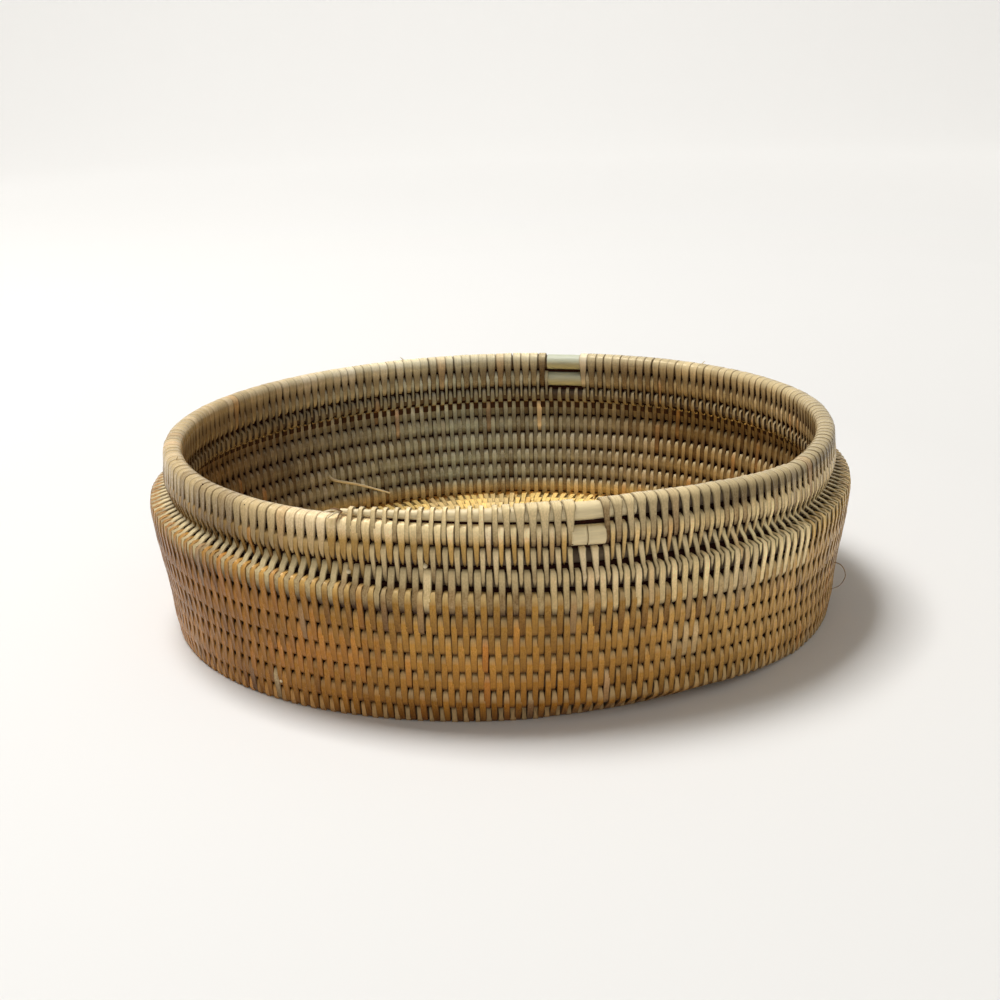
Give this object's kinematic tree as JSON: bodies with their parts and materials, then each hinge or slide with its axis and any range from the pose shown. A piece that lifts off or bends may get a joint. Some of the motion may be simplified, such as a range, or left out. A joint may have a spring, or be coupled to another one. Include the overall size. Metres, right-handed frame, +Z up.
{
  "type": "coiled rattan basket",
  "caption": "Low oval trinket basket of coiled rattan, open at the top, with a wall that leans out, a ledge and collar for a lid, and a tapered end on its rim.",
  "frame": {"origin": "under the middle of the basket, on the surface that it stands on", "axes": "+Z up out of the mouth, +X along the long way, -Y towards the side with the rim's tapered end"},
  "size_m": [0.2014, 0.1776, 0.0574],
  "materials": {
    "wall_splint": "satin split rattan, honey brown",
    "rim_splint": "satin split rattan, pale straw",
    "floor_splint": "satin split rattan, golden",
    "bare_rod": "smooth peeled rattan core, cream"
  },
  "bodies": {
    "root": {"floor_turn_01": "floor_splint", "floor_turn_02": "floor_splint", "floor_turn_03": "floor_splint", "floor_turn_04": "floor_splint", "floor_turn_05": "floor_splint", "floor_turn_06": "floor_splint", "floor_turn_07": "floor_splint", "floor_turn_08": "floor_splint", "floor_turn_09": "floor_splint", "floor_turn_10": "floor_splint", "floor_turn_11": "floor_splint", "floor_turn_12": "floor_splint", "floor_turn_13": "floor_splint", "floor_turn_14": "floor_splint", "floor_turn_15": "floor_splint", "floor_turn_16": "floor_splint", "wall_course_1": "wall_splint", "wall_course_2": "wall_splint", "wall_course_3": "wall_splint", "wall_course_4": "wall_splint", "wall_course_5": "wall_splint", "wall_course_6": "wall_splint", "wall_course_7": "wall_splint", "ledge_course": "rim_splint", "collar_course": "rim_splint", "rim_course": "rim_splint", "rim_tail": "bare_rod"}
  },
  "joints": []
}
